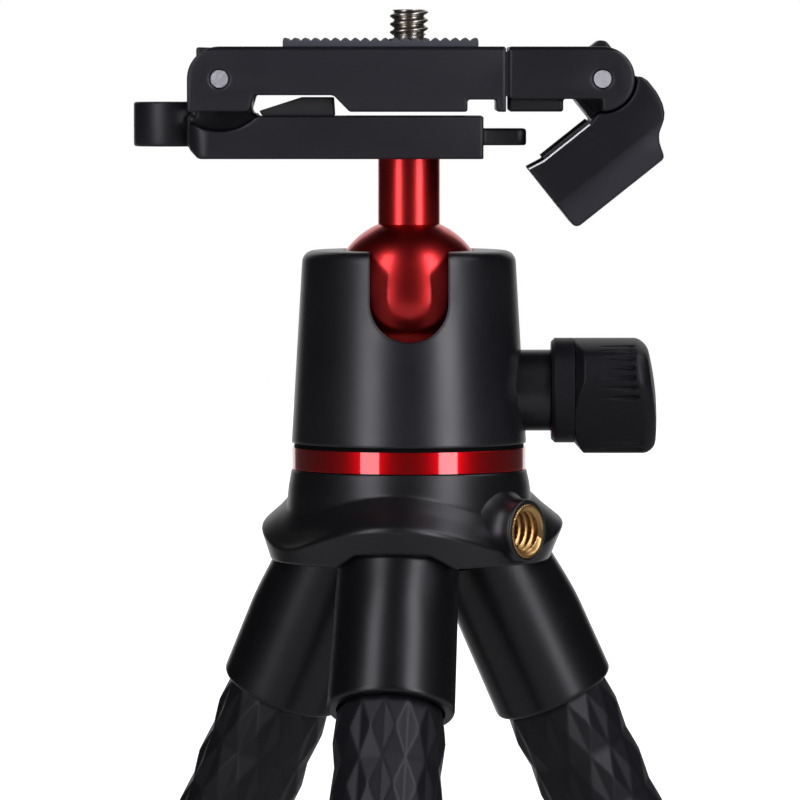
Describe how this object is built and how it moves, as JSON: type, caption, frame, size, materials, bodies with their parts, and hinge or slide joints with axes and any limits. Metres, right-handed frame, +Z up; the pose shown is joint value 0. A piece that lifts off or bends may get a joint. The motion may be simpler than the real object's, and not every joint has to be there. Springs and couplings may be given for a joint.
{
  "type": "flexible leg tripod",
  "caption": "Small tripod with bendable faceted legs, a red ball head with a side knob, and a flip-up plate with a camera screw and a sprung phone jaw",
  "frame": {"origin": "on the tripod's axis, on the floor that its feet stand on", "axes": "+Z up along the camera screw, +X to the knob, -Y to the notch in the housing"},
  "size_m": [0.1824, 0.1698, 0.2624],
  "materials": {
    "black_metal": "satin black anodised",
    "black_plastic": "satin black",
    "knob_rubber": "matte black, soft touch",
    "red_metal": "red anodised",
    "steel": "bright steel",
    "brass": "turned brass",
    "nylon": "nylon",
    "grey_rubber": "mid grey ribbed rubber",
    "black_rubber": "black rubber",
    "core_wire": "soft wire",
    "leg_rubber": "faceted black rubber",
    "foot_rubber": "black rubber"
  },
  "bodies": {
    "base": {"hub": "black_plastic", "pan_ring": "red_metal", "pan_washer": "nylon", "pan_shaft": "steel", "thread_insert": "brass", "collar_screws": "steel", "leg_collar_front": "black_plastic", "leg_core_front": "core_wire", "leg_root_front": "leg_rubber", "leg_collar_right": "black_plastic", "leg_core_right": "core_wire", "leg_root_right": "leg_rubber", "leg_collar_left": "black_plastic", "leg_core_left": "core_wire", "leg_root_left": "leg_rubber"},
    "head": {"housing": "black_metal", "base_plug": "black_plastic", "knob_neck": "black_metal"},
    "wedge": {"clamp_wedge": "brass"},
    "cup": {"ball_cup": "nylon"},
    "knob": {"knob_grip": "knob_rubber", "knob_collar": "knob_rubber", "knob_screw": "steel"},
    "ball": {"ball_stem": "red_metal", "stem_bolt": "steel"},
    "mount": {"base_bar": "black_metal", "lower_jaw_pad": "black_rubber"},
    "plate": {"top_plate": "black_metal", "ribbed_pad": "grey_rubber", "hinge_pin_left": "steel", "screw_clip": "steel", "return_springs": "steel"},
    "screw": {"camera_screw": "steel"},
    "slider": {"slider_block": "black_metal", "guide_rods": "steel", "hinge_pin_right": "steel"},
    "jaw": {"jaw_arm": "black_metal", "jaw_pad": "black_rubber"},
    "leg_front_1": {"leg_link_1_front": "leg_rubber"},
    "leg_front_2": {"leg_link_2_front": "leg_rubber"},
    "leg_front_3": {"leg_link_3_front": "leg_rubber"},
    "leg_front_4": {"leg_link_4_front": "leg_rubber"},
    "leg_front_5": {"leg_tip_front": "leg_rubber", "foot_front": "foot_rubber"},
    "leg_right_1": {"leg_link_1_right": "leg_rubber"},
    "leg_right_2": {"leg_link_2_right": "leg_rubber"},
    "leg_right_3": {"leg_link_3_right": "leg_rubber"},
    "leg_right_4": {"leg_link_4_right": "leg_rubber"},
    "leg_right_5": {"leg_tip_right": "leg_rubber", "foot_right": "foot_rubber"},
    "leg_left_1": {"leg_link_1_left": "leg_rubber"},
    "leg_left_2": {"leg_link_2_left": "leg_rubber"},
    "leg_left_3": {"leg_link_3_left": "leg_rubber"},
    "leg_left_4": {"leg_link_4_left": "leg_rubber"},
    "leg_left_5": {"leg_tip_left": "leg_rubber", "foot_left": "foot_rubber"}
  },
  "joints": [
    {"name": "head_pan", "type": "hinge", "parent": "base", "child": "head", "pos_m": [0, 0, 0.18818], "axis": [0, 0, 1], "continuous": true},
    {"name": "ball_tilt", "type": "hinge", "parent": "head", "child": "ball", "pos_m": [0, 0, 0.21624], "axis": [1, 0, 0], "range_deg": [-30, 90]},
    {"name": "mount_spin", "type": "hinge", "parent": "ball", "child": "mount", "pos_m": [0, 0, 0.23838], "axis": [0, 0, 1], "continuous": true},
    {"name": "plate_flip", "type": "hinge", "parent": "mount", "child": "plate", "pos_m": [-0.0303, 0, 0.25118], "axis": [0, -1, 0], "range_deg": [0, 90]},
    {"name": "camera_screw_turn", "type": "hinge", "parent": "plate", "child": "screw", "pos_m": [0, 0, 0.25778], "axis": [0, 0, 1], "continuous": true},
    {"name": "slider_pull", "type": "slide", "parent": "plate", "child": "slider", "axis": [1, 0, 0], "range_m": [0, 0.025], "stiffness_N_per_m": 150, "springref_m": -0.02, "deforming": ["return_springs"]},
    {"name": "jaw_fold", "type": "hinge", "parent": "slider", "child": "jaw", "pos_m": [0.0309, 0, 0.25118], "axis": [0, -1, 0], "range_deg": [-33, 51.5]},
    {"name": "knob_turn", "type": "hinge", "parent": "head", "child": "knob", "pos_m": [0, 0, 0.20078], "axis": [-1, 0, 0], "range_deg": [0, 360]},
    {"name": "wedge_slide", "type": "slide", "parent": "head", "child": "wedge", "axis": [-1, 0, 0], "range_m": [0, 0.001]},
    {"name": "cup_lift", "type": "slide", "parent": "head", "child": "cup", "axis": [0, 0, 1], "range_m": [0, 0.0002]},
    {"name": "leg_front_bend_1", "type": "hinge", "parent": "base", "child": "leg_front_1", "pos_m": [-0.00368, -0.0323, 0.13737], "axis": [-0.9936, 0.1132, 0], "range_deg": [-16, 28], "deforming": ["leg_core_front"]},
    {"name": "leg_front_sway_2", "type": "hinge", "parent": "leg_front_1", "child": "leg_front_2", "pos_m": [-0.00511, -0.04489, 0.1114], "axis": [-0.1017, -0.893, 0.4384], "range_deg": [-24, 24]},
    {"name": "leg_front_bend_3", "type": "hinge", "parent": "leg_front_2", "child": "leg_front_3", "pos_m": [-0.00655, -0.05748, 0.08542], "axis": [-0.9936, 0.1132, 0], "range_deg": [-16, 28]},
    {"name": "leg_front_sway_4", "type": "hinge", "parent": "leg_front_3", "child": "leg_front_4", "pos_m": [-0.00798, -0.07007, 0.05945], "axis": [-0.1017, -0.893, 0.4384], "range_deg": [-24, 24]},
    {"name": "leg_front_bend_5", "type": "hinge", "parent": "leg_front_4", "child": "leg_front_5", "pos_m": [-0.00942, -0.08265, 0.03347], "axis": [-0.9936, 0.1132, 0], "range_deg": [-16, 28]},
    {"name": "leg_right_bend_1", "type": "hinge", "parent": "base", "child": "leg_right_1", "pos_m": [0.02982, 0.01296, 0.13737], "axis": [0.3987, -0.9171, 0], "range_deg": [-16, 28], "deforming": ["leg_core_right"]},
    {"name": "leg_right_sway_2", "type": "hinge", "parent": "leg_right_1", "child": "leg_right_2", "pos_m": [0.04143, 0.01802, 0.1114], "axis": [0.8242, 0.3584, 0.4384], "range_deg": [-24, 24]},
    {"name": "leg_right_bend_3", "type": "hinge", "parent": "leg_right_2", "child": "leg_right_3", "pos_m": [0.05305, 0.02307, 0.08542], "axis": [0.3987, -0.9171, 0], "range_deg": [-16, 28]},
    {"name": "leg_right_sway_4", "type": "hinge", "parent": "leg_right_3", "child": "leg_right_4", "pos_m": [0.06467, 0.02812, 0.05945], "axis": [0.8242, 0.3584, 0.4384], "range_deg": [-24, 24]},
    {"name": "leg_right_bend_5", "type": "hinge", "parent": "leg_right_4", "child": "leg_right_5", "pos_m": [0.07629, 0.03317, 0.03347], "axis": [0.3987, -0.9171, 0], "range_deg": [-16, 28]},
    {"name": "leg_left_bend_1", "type": "hinge", "parent": "base", "child": "leg_left_1", "pos_m": [-0.02614, 0.01934, 0.13737], "axis": [0.5948, 0.8039, 0], "range_deg": [-16, 28], "deforming": ["leg_core_left"]},
    {"name": "leg_left_sway_2", "type": "hinge", "parent": "leg_left_1", "child": "leg_left_2", "pos_m": [-0.03632, 0.02688, 0.1114], "axis": [-0.7225, 0.5346, 0.4384], "range_deg": [-24, 24]},
    {"name": "leg_left_bend_3", "type": "hinge", "parent": "leg_left_2", "child": "leg_left_3", "pos_m": [-0.0465, 0.03441, 0.08542], "axis": [0.5948, 0.8039, 0], "range_deg": [-16, 28]},
    {"name": "leg_left_sway_4", "type": "hinge", "parent": "leg_left_3", "child": "leg_left_4", "pos_m": [-0.05669, 0.04195, 0.05945], "axis": [-0.7225, 0.5346, 0.4384], "range_deg": [-24, 24]},
    {"name": "leg_left_bend_5", "type": "hinge", "parent": "leg_left_4", "child": "leg_left_5", "pos_m": [-0.06687, 0.04948, 0.03347], "axis": [0.5948, 0.8039, 0], "range_deg": [-16, 28]}
  ],
  "couplings": [
    {"joint": "knob_turn", "follows": "wedge_slide", "rad_per_m": 6283.2},
    {"joint": "cup_lift", "follows": "wedge_slide", "ratio": 0.2},
    {"joint": "leg_front_bend_3", "follows": "leg_front_bend_1", "ratio": 1},
    {"joint": "leg_front_sway_4", "follows": "leg_front_sway_2", "ratio": 1},
    {"joint": "leg_front_bend_5", "follows": "leg_front_bend_1", "ratio": 1},
    {"joint": "leg_right_bend_3", "follows": "leg_right_bend_1", "ratio": 1},
    {"joint": "leg_right_sway_4", "follows": "leg_right_sway_2", "ratio": 1},
    {"joint": "leg_right_bend_5", "follows": "leg_right_bend_1", "ratio": 1},
    {"joint": "leg_left_bend_3", "follows": "leg_left_bend_1", "ratio": 1},
    {"joint": "leg_left_sway_4", "follows": "leg_left_sway_2", "ratio": 1},
    {"joint": "leg_left_bend_5", "follows": "leg_left_bend_1", "ratio": 1}
  ]
}
